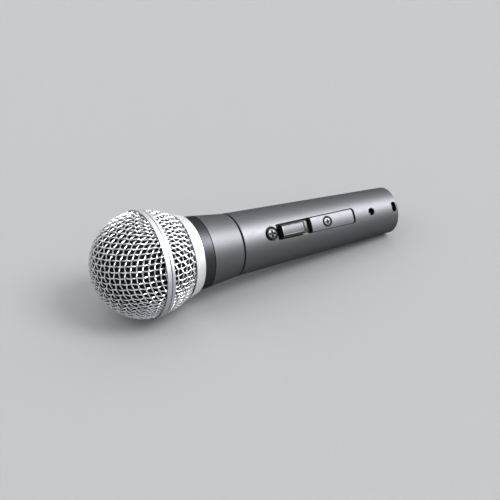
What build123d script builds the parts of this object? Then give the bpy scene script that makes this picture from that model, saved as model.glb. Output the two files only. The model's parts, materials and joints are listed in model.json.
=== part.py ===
from build123d import *
import os
from math import asin, atan2, cos, degrees, hypot, radians, sin

# Handheld vocal microphone with a ball grille and an on/off slide switch.
# Every piece is drawn about the microphone's own axis: z runs from the tail rim (0) to the
# tip of the grille, and +X is the side that carries the switch, lock plate and latch window.
# At the end each piece is laid down on the ball and the tail rim, the way it rests on a table.

# Overall
TAIL_R = 11.5            # handle radius at the tail rim
HEAD_R = 15.2            # handle radius where it meets the collar
HEAD_Z = 92.0            # height of that parting line
TIP_Z = 162.0            # tip of the grille
HOOP_R = 25.5            # front hoop, the widest part
SWITCH_ROLL = -52.5      # degrees from straight up to the switch side, as it lies

# Handle shell
WALL = 2.3
RIM_FILLET = 0.6
SHELL_TOP_Z = 91.5
SOCKET_R = 13.0          # bore that takes the collar's spigot
SOCKET_Z = 81.0
PLUG_BORE_R = 8.15       # connector socket
PLUG_BORE_Z = 22.5
BORE_CHAMFER = 0.5

# Switch opening and its lock plate
SLOT_Z = (53.3, 72.6)
SLOT_HALF = 3.7
SLOT_CORNER = 0.6
RECESS_Z = 26.9
RECESS_DEPTH = 0.95
RECESS_CORNER = 1.4
PLATE_GAP = 0.15
PLATE_TAIL_GAP = 0.9     # wider gap at the rounded end, where the plate is lifted out
PLATE_TOP_Z = 52.9
PLATE_THICK = 0.92
LAND_X = 11.3            # flat land inside the handle, under the slot
LAND_Z = (49.5, 80.0)
LAND_HALF = 4.2

# Screws on the switch side
PLATE_SCREW_Z = 43.5
PLATE_SCREW_HEAD_R = 1.95
PLATE_SCREW_R = 1.0
PLATE_COUNTERBORE_R = 2.55
PLATE_COUNTERBORE = 0.7
BOSS_R = 2.3
BOSS_X = 8.6
EDGE_CHAMFER = 0.2       # edges of every opening in the handle's outer face
DRIVE_DEPTH = 0.28       # depth of a screw's cross recess, as a share of its head radius
SWITCH_SCREW_Z = 75.9
SWITCH_SCREW_HEAD_R = 2.65
SWITCH_SCREW_R = 1.25
SWITCH_SEAT_R = 3.4
SWITCH_SEAT_DEPTH = 1.0
SET_SCREW_Z = 16.55
SET_SCREW_HOLE_R = 1.7
SET_SCREW_R = 1.5
SET_SCREW_X = (7.0, 9.3)
SET_SCREW_SLOT = (0.5, 0.6)   # width and depth of its driver slot

# Latch window near the tail rim
LATCH_Z = 2.4
LATCH_WIDE = 4.8
LATCH_HIGH = 2.4

# Connector insert and contacts
INSERT_Z = (14.5, 22.0)
INSERT_R = 8.1
PIN_R = 1.2
PIN_ROOT_R = 0.9
PIN_CUP = (0.5, 2.0)     # bore radius and depth of the solder cup
PIN_CIRCLE_R = 3.5
PIN_TIP_Z = 2.0
PIN_NOSE = 1.0
PIN_END_Z = 25.0
PIN_ANGLES = (90, 270, 180)

# Transformer, potted behind the insert
CAN_Z = (27.0, 47.0)
CAN_R = 8.0
CAN_WALL = 0.6
POTTING_Z = (28.0, 39.0)
POTTING_R = 10.2

# Slide switch
SWITCH_Z = (54.0, 73.5)
SWITCH_X = (4.6, 9.8)
SWITCH_HALF = 3.6
CAVITY_Z = (56.0, 71.5)
CAVITY_X = 6.0
CAVITY_HALF = 1.9
BRACKET_Z = (50.5, 79.0)
BRACKET_X = (9.9, 10.4)
BRACKET_HALF = 3.4
SHIELD_X = (10.75, 10.95)
SHIELD_Z = (53.0, 75.8)
SHIELD_HALF = 3.8
BUTTON_Z = (56.5, 70.2)
BUTTON_X = (11.7, 15.3)
BUTTON_HALF = 3.1
BUTTON_TOP_HALF = 2.2
BUTTON_FACE_Z = (59.0, 69.6)
BUTTON_FACE_THICK = 0.35
BUTTON_BEVEL = 1.0       # drop of the long side bevels
BUTTON_TAIL_BEVEL = 1.7  # drop of the bevel at the tail end
BUTTON_FILLET = 0.2
PEG_Z = (65.0, 68.0)
PEG_HALF = 1.1
PEG_GRIP = 1.2           # how far the peg stands into the button
BLOCK_Z = (62.5, 70.5)
BLOCK_X = (6.4, 9.4)
BLOCK_HALF = 1.5
LUG_HEIGHTS = (58.0, 64.0, 70.0)
LUG_Y = 2.0
LUG_X = 2.4

# Collar: spigot, cone, seat of the name ring and threaded neck
COLLAR_Z = 92.1
COLLAR_BEVEL = 0.35
SPIGOT_Z = 82.0
SPIGOT_R = 12.85
SPIGOT_BORE_R = 11.6
CUP_Z = 102.0
CUP_R = 14.6
SHOULDER_Z = 108.6
SHOULDER_R = 17.2
RING_SEAT_R = 16.45
RING_SEAT_Z = 114.3
NECK_R = 15.9            # root of the thread that the grille screws on
NECK_Z = 119.4

# Ring between the collar and the grille
NAME_RING_Z = (108.9, 114.2)
NAME_RING_R = (17.25, 17.75)
NAME_RING_BORE_R = 16.5

# Grille
BASE_RING_Z = (114.6, 120.1)
BASE_RING_R = (18.55, 20.15)
BASE_RING_BORE_R = 16.55
MESH_GROOVE_R = (17.5, 19.75)
MESH_GROOVE_Z = 118.4
MESH_THICK = 1.6         # two wire diameters
REAR_MESH_CENTRE_Z = 137.0
REAR_MESH_R = 24.85
REAR_MESH_LENGTH = 27.6
REAR_MESH_Z = (118.6, 134.8)
FRONT_MESH_CENTRE_Z = 137.6
FRONT_MESH_R = 25.0
FRONT_MESH_Z = 136.5
REAR_HOOP_Z = (133.9, 135.3)
REAR_HOOP_R = 25.2
REAR_HOOP_LIP_R = 24.8
FRONT_HOOP_Z = (135.75, 138.0)
FRONT_HOOP_LIP_R = 25.05
HOOP_FLOOR = 0.7
HOOP_BORE_R = 22.9
HOOP_GROOVE_R = 24.5
HOOP_FILLET = 0.2

# Foam lining, clear of the wire cloth so that the grille can turn round it
FOAM_GAP = 0.3
FOAM_THICK = 2.5
FOAM_Z = 124.0
FOAM_R = 22.6

# Cartridge
TUBE_R = (9.6, 10.8)
TUBE_Z = 99.0
FLANGE_Z = (121.2, 123.0)
CASE_R = (14.2, 15.0)
CASE_TOP_Z = 133.5
YOKE_Z = (123.2, 130.0)
YOKE_R = (9.6, 12.0)
YOKE_FLOOR = 2.5
MAGNET_R = 7.0
MAGNET_TOP_Z = 129.2
POLE_R = 7.6
MOTOR_TOP_Z = 131.4
GAP_R = 8.9
COIL_R = (8.05, 8.5)
COIL_Z = (128.9, 132.0)
DIAPHRAGM_R = 12.6
DIAPHRAGM_Z = 132.0
DOME_R = 8.3
DOME_HEIGHT = 1.8
FILM = 0.2
SURROUND_R = 14.1
CAP_Z = (135.3, 136.3)
CAP_SKIRT_R = 13.2
CAP_R = 14.15
CAP_HOLES = 8
CAP_HOLE_R = 1.2
CAP_HOLE_CIRCLE_R = 9.0
FRONT_RING_Z = 138.0
FRONT_RING_BORE_R = 12.4
SCREEN_Z = (136.8, 137.2)
BOARD_Z = (99.5, 101.0)
BOARD_R = 9.5
TERMINAL_Y = 4.0
TERMINAL_Z = 96.5

# Rubber suspension between the cartridge tube and the collar
MOUNT_Z = (104.0, 118.6)
MOUNT_OUTER_Z = 106.0
MOUNT_SLEEVE = 0.8
MOUNT_WEB_Z = 108.0
MOUNT_WEB = 1.6          # height of the folded web
MOUNT_RISE = 3.0         # how far the fold stands above its roots

WIRE_R = 0.45
THROUGH = 30.0           # longer than any cut needs


# ---- small tools ----

def handle_radius(z):
    """Outer radius of the handle's cone at height z."""
    return TAIL_R + (HEAD_R - TAIL_R) * z / HEAD_Z


def lathe(profile):
    """Turn a flat outline, drawn as radius and height, about the microphone's axis."""
    return revolve(Plane.XZ * profile, Axis.Z)


def turned(*points):
    """A piece turned from straight-sided points of (radius, height)."""
    return lathe(make_face(Polyline(*points, close=True)))


def tube(inner, outer, low, high):
    """A plain hollow cylinder."""
    return turned((inner, low), (outer, low), (outer, high), (inner, high))


def disc(radius, low, high):
    """A plain solid cylinder on the axis."""
    return Pos(0, 0, low) * Cylinder(radius, high - low, align=(Align.CENTER, Align.CENTER, Align.MIN))


def block(x_range, half_width, z_range):
    """A box centred across the switch side, from one x and z to another."""
    low = (x_range[0], -half_width, z_range[0])
    size = (x_range[1] - x_range[0], 2 * half_width, z_range[1] - z_range[0])
    return Pos(*low) * Box(*size, align=(Align.MIN, Align.MIN, Align.MIN))


def peg(z, radius, x_low, x_high):
    """A cylinder that points out of the switch side."""
    across = Plane(origin=(x_low, 0, z), x_dir=(0, 1, 0), z_dir=(1, 0, 0))
    return across * Cylinder(radius, x_high - x_low, align=(Align.CENTER, Align.CENTER, Align.MIN))


def outward(shape, x_low):
    """Push a flat outline, drawn as (y, z), out of the switch side."""
    return extrude(Plane.YZ.offset(x_low) * shape, THROUGH)


def handle_cone(low, high, inset):
    """The handle's cone between two heights, reduced all round by inset."""
    return turned(
        (0, low),
        (handle_radius(low) - inset, low),
        (handle_radius(high) - inset, high),
        (0, high),
    )


def half_ellipse(centre, radius, length, low, high):
    """Solid of revolution under an ellipse between two heights."""
    window = Pos(THROUGH / 2, (low + high) / 2) * Rectangle(THROUGH, high - low)
    return lathe((Pos(0, centre) * Ellipse(radius, length)) & window)


def ellipsoid_shell(centre, radius, length, thick, low, high):
    """Hollow ellipsoid between two heights."""
    outer = half_ellipse(centre, radius, length, low, high)
    return outer - half_ellipse(centre, radius - thick, length - thick, low - 1, high)


def cross_recess(z, x_top, head_radius):
    """The cross-shaped drive cut into a screw head."""
    size = 1.3 * head_radius
    arm = 0.3 * size
    x_range = (x_top - DRIVE_DEPTH * head_radius, x_top + 1)
    along = block(x_range, arm / 2, (z - size / 2, z + size / 2))
    return along + block(x_range, size / 2, (z - arm / 2, z + arm / 2))


def pan_screw(z, head_radius, head_height, x_seat, shank_radius, x_end):
    """A cross-head screw with a domed head, driven in from the switch side."""
    head = peg(z, head_radius, x_seat, x_seat + head_height)
    head = fillet(head.edges().group_by(Axis.X)[-1], 0.7 * head_height)
    screw = head + peg(z, shank_radius, x_end, x_seat + 0.1)
    return screw - cross_recess(z, x_seat + head_height, head_radius)


def on_outer_face(edge):
    """True for an edge that lies in the handle's conical face and bounds an opening in it."""
    if edge.geom_type == GeomType.LINE:
        return False
    for point in (edge @ 0, edge @ 0.3, edge @ 0.6, edge @ 1):
        if point.X < 0 or not RIM_FILLET < point.Z < SHELL_TOP_Z - 1:
            return False
        if abs(hypot(point.X, point.Y) - handle_radius(point.Z)) > 0.02:
            return False
    return True


def break_edges(shape):
    """Chamfer the edges of the openings in the handle's outer face."""
    return chamfer(shape.edges().filter_by(on_outer_face), EDGE_CHAMFER)


def at_pin(angle):
    """Place of one contact on its circle; the latch window is at angle 0."""
    return Rot(0, 0, angle) * Pos(PIN_CIRCLE_R, 0, 0)


def wire(points, radius):
    """A round lead along straight runs joined by tangent arcs."""
    path = FilletPolyline(*points, radius=radius)
    start = path.edges()[0] % 0
    section = Plane(origin=path.edges()[0] @ 0, z_dir=start) * Circle(WIRE_R)
    return sweep(section, path)


def pair(points, radius):
    """The same lead on both sides of the switch plane."""
    mirrored = [(x, -y, z) for x, y, z in points]
    return Compound(children=[wire(points, radius), wire(mirrored, radius)])


# ---- handle ----

def recess_outline(low, high, gap):
    """Outline of the lock plate's recess, or of the plate in it, rounded only at the tail end."""
    half = SLOT_HALF - gap
    corner = RECESS_CORNER - gap
    rounded = Pos(0, (low + high) / 2) * RectangleRounded(2 * half, high - low, corner)
    square = Pos(0, high - corner) * Rectangle(2 * half, 2 * corner)
    return rounded + square


def handle_body():
    """The turned shell before anything is cut through its side."""
    land = PLUG_BORE_Z
    profile = make_face(
        Polyline(
            (PLUG_BORE_R + BORE_CHAMFER, 0),
            (TAIL_R, 0),
            (handle_radius(SHELL_TOP_Z - 0.3), SHELL_TOP_Z - 0.3),
            (handle_radius(SHELL_TOP_Z) - 0.3, SHELL_TOP_Z),
            (SOCKET_R, SHELL_TOP_Z),
            (SOCKET_R, SOCKET_Z),
            (handle_radius(SOCKET_Z) - WALL, SOCKET_Z),
            (handle_radius(land) - WALL, land),
            (PLUG_BORE_R, land),
            (PLUG_BORE_R, BORE_CHAMFER),
            close=True,
        )
    )
    rim = profile.vertices().group_by(Axis.Y)[0].sort_by(Axis.X)[-1]
    return lathe(fillet(rim, RIM_FILLET))


def handle_shell():
    """Die-cast tapered handle with the switch opening, plate recess, screw holes and latch window."""
    shell = handle_body()
    boss_top = handle_radius(PLATE_SCREW_Z) - RECESS_DEPTH - 0.2
    shell += peg(PLATE_SCREW_Z, BOSS_R, BOSS_X, boss_top)
    shell -= block((9.0, LAND_X), LAND_HALF, LAND_Z)
    recess = outward(recess_outline(RECESS_Z, SLOT_Z[0] + 1.0, 0), 0)
    shell -= recess - handle_cone(0, HEAD_Z, RECESS_DEPTH)
    slot = RectangleRounded(2 * SLOT_HALF, SLOT_Z[1] - SLOT_Z[0], SLOT_CORNER)
    shell -= outward(Pos(0, sum(SLOT_Z) / 2) * slot, LAND_X - 1.0)
    seat_floor = handle_radius(SWITCH_SCREW_Z) - SWITCH_SEAT_DEPTH
    shell -= peg(SWITCH_SCREW_Z, SWITCH_SEAT_R, seat_floor, THROUGH)
    shell -= peg(SWITCH_SCREW_Z, SWITCH_SCREW_R + 0.25, 9.0, THROUGH)
    shell -= peg(PLATE_SCREW_Z, PLATE_SCREW_R + 0.03, 7.0, THROUGH)
    shell -= peg(SET_SCREW_Z, SET_SCREW_HOLE_R, 7.0, THROUGH)
    window = Pos(0, LATCH_Z) * SlotOverall(LATCH_WIDE, LATCH_HIGH)
    return break_edges(shell - outward(window, 7.0))


def lock_plate():
    """Cover plate flush with the handle, turned end for end to hold the switch in one position."""
    skin = handle_cone(0, HEAD_Z, 0) - handle_cone(0, HEAD_Z, PLATE_THICK)
    plate = skin & outward(recess_outline(RECESS_Z + PLATE_TAIL_GAP, PLATE_TOP_Z, PLATE_GAP), 0)
    floor = handle_radius(PLATE_SCREW_Z) - PLATE_COUNTERBORE
    plate -= peg(PLATE_SCREW_Z, PLATE_COUNTERBORE_R, floor, THROUGH)
    return break_edges(plate - peg(PLATE_SCREW_Z, PLATE_SCREW_R + 0.2, 7.0, THROUGH))


def lock_plate_screw():
    seat = handle_radius(PLATE_SCREW_Z) - PLATE_COUNTERBORE
    return pan_screw(PLATE_SCREW_Z, PLATE_SCREW_HEAD_R, 0.75, seat, PLATE_SCREW_R, 9.2)


def switch_screw():
    seat = handle_radius(SWITCH_SCREW_Z) - SWITCH_SEAT_DEPTH
    return pan_screw(SWITCH_SCREW_Z, SWITCH_SCREW_HEAD_R, 1.5, seat, SWITCH_SCREW_R, 9.3)


def insert_set_screw():
    """Headless slotted screw that holds the connector insert in the handle."""
    wide, deep = SET_SCREW_SLOT
    top = SET_SCREW_X[1]
    screw = peg(SET_SCREW_Z, SET_SCREW_R, *SET_SCREW_X)
    return screw - block((top - deep, top + 1), wide / 2, (SET_SCREW_Z - 3, SET_SCREW_Z + 3))


# ---- connector ----

def xlr_insert():
    """Insulating insert that carries the three contacts."""
    low, high = INSERT_Z
    face = turned(
        (0, low),
        (INSERT_R - 1.6, low),
        (INSERT_R - 1.6, low + 0.6),
        (INSERT_R - 0.7, low + 0.6),
        (INSERT_R - 0.7, low),
        (INSERT_R, low),
        (INSERT_R, high),
        (0, high),
    )
    for angle in PIN_ANGLES:
        face -= at_pin(angle) * disc(PIN_ROOT_R + 0.02, 0, 2 * high)
    return face - peg(SET_SCREW_Z, SET_SCREW_R + 0.05, 6.8, THROUGH)


def contact_pin(angle):
    """A round contact with a rounded nose and a solder cup."""
    cup_r, cup_depth = PIN_CUP
    nose = make_face(
        Polyline(
            (0, PIN_TIP_Z),
            (PIN_R, PIN_TIP_Z),
            (PIN_R, INSERT_Z[0]),
            (PIN_ROOT_R, INSERT_Z[0]),
            (PIN_ROOT_R, PIN_END_Z),
            (cup_r, PIN_END_Z),
            (cup_r, PIN_END_Z - cup_depth),
            (0, PIN_END_Z - cup_depth),
            close=True,
        )
    )
    corner = nose.vertices().group_by(Axis.Y)[0].sort_by(Axis.X)[-1]
    pin = lathe(fillet(corner, PIN_NOSE))
    return at_pin(angle) * pin


def ground_contact():
    """Flat leaf on the back of the insert from the first contact to the shell."""
    leaf = Pos(0, 5.3, INSERT_Z[1] + 0.15) * Box(3.2, 5.4, 0.3)
    return leaf - Pos(0, PIN_CIRCLE_R, INSERT_Z[1]) * Cylinder(PIN_ROOT_R + 0.02, 4)


# ---- transformer ----

def transformer_can():
    low, high = CAN_Z
    can = disc(CAN_R, low, high) - disc(CAN_R - CAN_WALL, low + CAN_WALL, high - CAN_WALL)
    return can - disc(5.0, low - 1, low + 1) - disc(2.0, high - 1, high + 1)


def transformer_core():
    """Laminated core: centre leg, two side legs and two yokes."""
    low, high = CAN_Z[0] + 1.2, CAN_Z[1] - 1.2
    frame = Pos(0, 0, (low + high) / 2) * Box(4, 13.8, high - low)
    gap = Pos(0, 0, (low + high) / 2) * Box(5, 3.4, high - low - 4)
    return frame - Pos(0, 3.7, 0) * gap - Pos(0, -3.7, 0) * gap


def bobbin_section(inner, outer):
    """Square sleeve round the core's centre leg."""
    low, high = CAN_Z[0] + 3.3, CAN_Z[1] - 3.3
    sleeve = Pos(0, 0, (low + high) / 2) * Box(2 * outer, 2 * outer, high - low)
    return sleeve - Pos(0, 0, (low + high) / 2) * Box(2 * inner, 2 * inner, high - low + 1)


def transformer_bobbin():
    return bobbin_section(2.05, 2.7)


def transformer_winding():
    """Wire wound on the bobbin, inside the core's two windows."""
    coil = bobbin_section(2.75, 5.0)
    leg = block((-3.0, 3.0), 3.0, CAN_Z)
    return coil - Pos(0, 8.35, 0) * leg - Pos(0, -8.35, 0) * leg


def transformer_potting():
    return tube(CAN_R + 0.05, POTTING_R, *POTTING_Z)


# ---- slide switch ----

def switch_housing():
    body = block(SWITCH_X, SWITCH_HALF, SWITCH_Z)
    return body - block((CAVITY_X, THROUGH), CAVITY_HALF, CAVITY_Z)


def switch_bracket():
    """Steel strip that hangs the switch under the slot."""
    strip = block(BRACKET_X, BRACKET_HALF, BRACKET_Z)
    strip -= block((BRACKET_X[0] - 1, THROUGH), PEG_HALF + 0.5, (PEG_Z[0] - 3.6, PEG_Z[1] + 0.6))
    return strip - peg(SWITCH_SCREW_Z, SWITCH_SCREW_R + 0.03, 9.0, THROUGH)


def switch_terminals():
    lugs = []
    for z in LUG_HEIGHTS:
        for y in (-LUG_Y, LUG_Y):
            lugs.append(Pos(0, y, 0) * block((LUG_X, SWITCH_X[0]), 0.25, (z - 0.7, z + 0.7)))
    return Compound(children=lugs)


def switch_button():
    """Raised thumb button: long bevels along both sides and a longer one at its tail end."""
    low, high = BUTTON_Z
    base, top = BUTTON_X
    side = make_face(
        Polyline(
            (base, low),
            (top - BUTTON_TAIL_BEVEL, low),
            (top, BUTTON_FACE_Z[0] - 0.3),
            (top, high),
            (base, high),
            close=True,
        )
    )
    end = make_face(
        Polyline(
            (base, -BUTTON_HALF),
            (top - BUTTON_BEVEL, -BUTTON_HALF),
            (top, -BUTTON_TOP_HALF),
            (top, BUTTON_TOP_HALF),
            (top - BUTTON_BEVEL, BUTTON_HALF),
            (base, BUTTON_HALF),
            close=True,
        )
    )
    along = extrude(Plane.XZ * side, THROUGH / 2, both=True)
    button = along & extrude(end, 2 * high)
    button = fillet(button.edges() - button.edges().group_by(Axis.X)[0], BUTTON_FILLET)
    button -= block((top - BUTTON_FACE_THICK, THROUGH), BUTTON_TOP_HALF - 0.3, BUTTON_FACE_Z)
    return button - block((base - 1, base + PEG_GRIP), PEG_HALF, PEG_Z)


def switch_button_face():
    """Metal inlay in the top of the button, a little below its rim."""
    low, high = BUTTON_FACE_Z
    top = BUTTON_X[1] - 0.08
    return block((BUTTON_X[1] - BUTTON_FACE_THICK, top), BUTTON_TOP_HALF - 0.34, (low + 0.04, high - 0.04))


def switch_actuator():
    """Slider inside the switch, with the peg that carries the button."""
    slider = block(BLOCK_X, BLOCK_HALF, BLOCK_Z)
    return slider + block((BLOCK_X[1] - 0.1, BUTTON_X[0] + PEG_GRIP), PEG_HALF, PEG_Z)


def switch_dust_shield():
    """Thin strip that moves with the button and closes the slot behind it."""
    strip = block(SHIELD_X, SHIELD_HALF, SHIELD_Z)
    strip -= block((SHIELD_X[0] - 1, THROUGH), SWITCH_SCREW_R + 0.45, (SHIELD_Z[1] - 1.5, SHIELD_Z[1] + 1))
    return strip - block((SHIELD_X[0] - 1, THROUGH), PEG_HALF, PEG_Z)


# ---- collar ----

def collar():
    """Cast collar: spigot into the handle, cone, seat of the name ring and threaded neck."""
    return turned(
        (SPIGOT_BORE_R, SPIGOT_Z),
        (SPIGOT_R, SPIGOT_Z),
        (SPIGOT_R, COLLAR_Z),
        (HEAD_R - COLLAR_BEVEL, COLLAR_Z),
        (HEAD_R, COLLAR_Z + COLLAR_BEVEL),
        (SHOULDER_R, SHOULDER_Z),
        (RING_SEAT_R, SHOULDER_Z),
        (RING_SEAT_R, RING_SEAT_Z),
        (NECK_R, RING_SEAT_Z),
        (NECK_R, NECK_Z),
        (CUP_R, NECK_Z),
        (CUP_R, CUP_Z),
        (SPIGOT_BORE_R, CUP_Z),
    )


def collar_gasket():
    """Thin seal in the gap between the collar and the handle."""
    return tube(SPIGOT_R + 0.05, SOCKET_R + 1.2, SHELL_TOP_Z, COLLAR_Z)


def name_ring():
    """Separate ring between the collar and the grille."""
    low, high = NAME_RING_Z
    return turned(
        (NAME_RING_BORE_R, low),
        (NAME_RING_R[0] - 0.15, low),
        (NAME_RING_R[0], low + 0.15),
        (NAME_RING_R[1], high),
        (NAME_RING_BORE_R, high),
    )


def shock_mount():
    """Rubber suspension: a sleeve on the cartridge, a sleeve in the collar and a folded web."""
    inner = TUBE_R[1] + 0.03
    outer = CUP_R - 0.03
    middle = (inner + outer) / 2
    low, high = MOUNT_Z
    root = MOUNT_WEB_Z
    return turned(
        (inner, low),
        (inner + MOUNT_SLEEVE, low),
        (inner + MOUNT_SLEEVE, root),
        (middle, root + MOUNT_RISE),
        (outer - MOUNT_SLEEVE, root),
        (outer - MOUNT_SLEEVE, MOUNT_OUTER_Z),
        (outer, MOUNT_OUTER_Z),
        (outer, high),
        (outer - MOUNT_SLEEVE, high),
        (outer - MOUNT_SLEEVE, root + MOUNT_WEB),
        (middle, root + MOUNT_RISE + MOUNT_WEB),
        (inner + MOUNT_SLEEVE, root + MOUNT_WEB),
        (inner + MOUNT_SLEEVE, high),
        (inner, high),
    )


# ---- cartridge ----

def cartridge_case():
    """Rear tube, flange and front cup of the cartridge."""
    return turned(
        (TUBE_R[0], TUBE_Z),
        (TUBE_R[1], TUBE_Z),
        (TUBE_R[1], FLANGE_Z[0]),
        (CASE_R[1], FLANGE_Z[0]),
        (CASE_R[1], CASE_TOP_Z),
        (CASE_R[0], CASE_TOP_Z),
        (CASE_R[0], FLANGE_Z[1]),
        (TUBE_R[0], FLANGE_Z[1]),
    )


def yoke_cup():
    """Soft iron cup that carries the magnet."""
    return disc(YOKE_R[1], *YOKE_Z) - disc(YOKE_R[0], YOKE_Z[0] + YOKE_FLOOR, YOKE_Z[1] + 1)


def magnet():
    return disc(MAGNET_R, YOKE_Z[0] + YOKE_FLOOR, MAGNET_TOP_Z)


def pole_piece():
    return disc(POLE_R, MAGNET_TOP_Z, MOTOR_TOP_Z)


def top_plate():
    """Ring that closes the magnetic circuit round the voice coil."""
    return tube(GAP_R, YOKE_R[1], YOKE_Z[1], MOTOR_TOP_Z)


def motor_spacer():
    """Plastic ring that centres the magnet system and carries the edge of the diaphragm."""
    return tube(YOKE_R[1] + 0.05, CASE_R[0] - 0.05, FLANGE_Z[1], MOTOR_TOP_Z)


def diaphragm_surround():
    """Flexible edge between the moving cone and the clamped rim."""
    low = DIAPHRAGM_Z
    return turned(
        (DIAPHRAGM_R + 0.02, low),
        (SURROUND_R - 0.4, low - 0.3),
        (SURROUND_R, low - 0.3),
        (SURROUND_R, low - 0.3 + FILM),
        (SURROUND_R - 0.4, low - 0.3 + FILM),
        (DIAPHRAGM_R + 0.02, low + FILM),
    )


def diaphragm():
    """Thin film with a domed centre."""
    cap_r = (DOME_R ** 2 + DOME_HEIGHT ** 2) / (2 * DOME_HEIGHT)
    centre = DIAPHRAGM_Z + DOME_HEIGHT - cap_r
    outer = Pos(0, centre) * Circle(cap_r + FILM)
    inner = Pos(0, centre) * Circle(cap_r)
    window = Pos(DOME_R / 2, DIAPHRAGM_Z + 5) * Rectangle(DOME_R, 10)
    dome = lathe((outer - inner) & window)
    return dome + tube(DOME_R - 0.2, DIAPHRAGM_R, DIAPHRAGM_Z, DIAPHRAGM_Z + FILM)


def voice_coil():
    return tube(COIL_R[0], COIL_R[1], *COIL_Z)


def resonator_cap():
    """Perforated cap over the diaphragm."""
    low, high = CAP_Z
    skirt_low = DIAPHRAGM_Z + 0.3
    cap = turned(
        (0, low),
        (CAP_SKIRT_R, low),
        (CAP_SKIRT_R, skirt_low),
        (CAP_R, skirt_low),
        (CAP_R, high),
        (0, high),
    )
    cap -= disc(2.0, low - 1, high + 1)
    return cap - PolarLocations(CAP_HOLE_CIRCLE_R, CAP_HOLES) * disc(CAP_HOLE_R, low - 1, high + 1)


def front_ring():
    """Ring that holds the screen on the front of the cartridge."""
    return turned(
        (CASE_R[0], CASE_TOP_Z),
        (CASE_R[1], CASE_TOP_Z),
        (CASE_R[1], FRONT_RING_Z - 0.6),
        (CASE_R[1] - 0.6, FRONT_RING_Z),
        (FRONT_RING_BORE_R, FRONT_RING_Z),
        (FRONT_RING_BORE_R, CAP_Z[1] + 0.05),
        (CASE_R[0], CAP_Z[1] + 0.05),
    )


def front_screen():
    return disc(FRONT_RING_BORE_R - 0.03, *SCREEN_Z)


def acoustic_felt():
    """Felt ring that damps the chamber behind the magnet."""
    return tube(3.0, TUBE_R[0] - 0.05, FLANGE_Z[0] - 1.5, FLANGE_Z[0])


def terminal_board():
    return disc(BOARD_R, *BOARD_Z)


def cartridge_terminals():
    lug = Pos(0, 0, (TERMINAL_Z + BOARD_Z[0]) / 2) * Box(1.6, 0.4, BOARD_Z[0] - TERMINAL_Z)
    return Compound(children=[Pos(0, TERMINAL_Y, 0) * lug, Pos(0, -TERMINAL_Y, 0) * lug])


# ---- leads ----

def output_leads():
    """Three short leads from the solder cups into the transformer."""
    runs = []
    for angle in PIN_ANGLES:
        runs.append(at_pin(angle) * disc(WIRE_R, PIN_END_Z - 1.9, CAN_Z[0] + 1.1))
    return Compound(children=runs)


def transformer_leads():
    lug_x = LUG_X - WIRE_R
    start = (0, 1.0, CAN_Z[1] - 0.9)
    end = (lug_x, LUG_Y, LUG_HEIGHTS[0])
    return pair([start, (0, 1.0, 50), (lug_x, LUG_Y, 54), end], 2.0)


def cartridge_leads():
    lug_x = LUG_X - WIRE_R
    start = (lug_x, LUG_Y, LUG_HEIGHTS[2])
    end = (0, TERMINAL_Y, TERMINAL_Z - 0.2)
    return pair([start, (lug_x, LUG_Y, 76), (0, TERMINAL_Y, 86), end], 4.0)


# ---- grille ----

def base_ring():
    """Threaded ring that the wire cloth is pressed into."""
    low, high = BASE_RING_Z
    return turned(
        (BASE_RING_BORE_R, low),
        (BASE_RING_R[0] - 0.3, low),
        (BASE_RING_R[0], low + 0.3),
        (BASE_RING_R[1], high - 0.2),
        (BASE_RING_R[1] - 0.2, high),
        (MESH_GROOVE_R[1], high),
        (MESH_GROOVE_R[1], MESH_GROOVE_Z),
        (MESH_GROOVE_R[0], MESH_GROOVE_Z),
        (MESH_GROOVE_R[0], high),
        (BASE_RING_BORE_R, high),
    )


def rear_mesh():
    """Outer shape of the wire cloth behind the hoops, with its skirt pressed into the base ring."""
    edge = BASE_RING_Z[1]
    skirt = tube(MESH_GROOVE_R[0] + 0.15, MESH_GROOVE_R[1] - 0.15, REAR_MESH_Z[0], edge)
    cloth = ellipsoid_shell(
        REAR_MESH_CENTRE_Z, REAR_MESH_R, REAR_MESH_LENGTH, MESH_THICK, edge, REAR_MESH_Z[1]
    )
    return skirt + cloth


def front_mesh():
    """Outer shape of the wire cloth dome, with its straight edge pressed into the front hoop."""
    centre = FRONT_MESH_CENTRE_Z
    edge = tube(FRONT_MESH_R - MESH_THICK, FRONT_MESH_R, FRONT_MESH_Z, centre)
    dome = ellipsoid_shell(centre, FRONT_MESH_R, TIP_Z - centre, MESH_THICK, centre, TIP_Z)
    return edge + dome


def rear_hoop():
    low, high = REAR_HOOP_Z
    profile = make_face(
        Polyline(
            (REAR_HOOP_LIP_R, low),
            (REAR_HOOP_R, low),
            (REAR_HOOP_R, high),
            (HOOP_BORE_R, high),
            (HOOP_BORE_R, high - 0.45),
            (REAR_HOOP_LIP_R, high - 0.45),
            close=True,
        )
    )
    edges = profile.vertices().group_by(Axis.X)[-1]
    return lathe(fillet(edges, HOOP_FILLET * 0.7))


def front_hoop():
    low, high = FRONT_HOOP_Z
    profile = make_face(
        Polyline(
            (HOOP_BORE_R, REAR_HOOP_Z[1]),
            (HOOP_GROOVE_R, REAR_HOOP_Z[1]),
            (HOOP_GROOVE_R, low),
            (HOOP_R, low),
            (HOOP_R, high),
            (FRONT_HOOP_LIP_R, high),
            (FRONT_HOOP_LIP_R, low + HOOP_FLOOR),
            (HOOP_BORE_R, low + HOOP_FLOOR),
            close=True,
        )
    )
    edges = profile.vertices().group_by(Axis.X)[-1]
    return lathe(fillet(edges, HOOP_FILLET))


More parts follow.
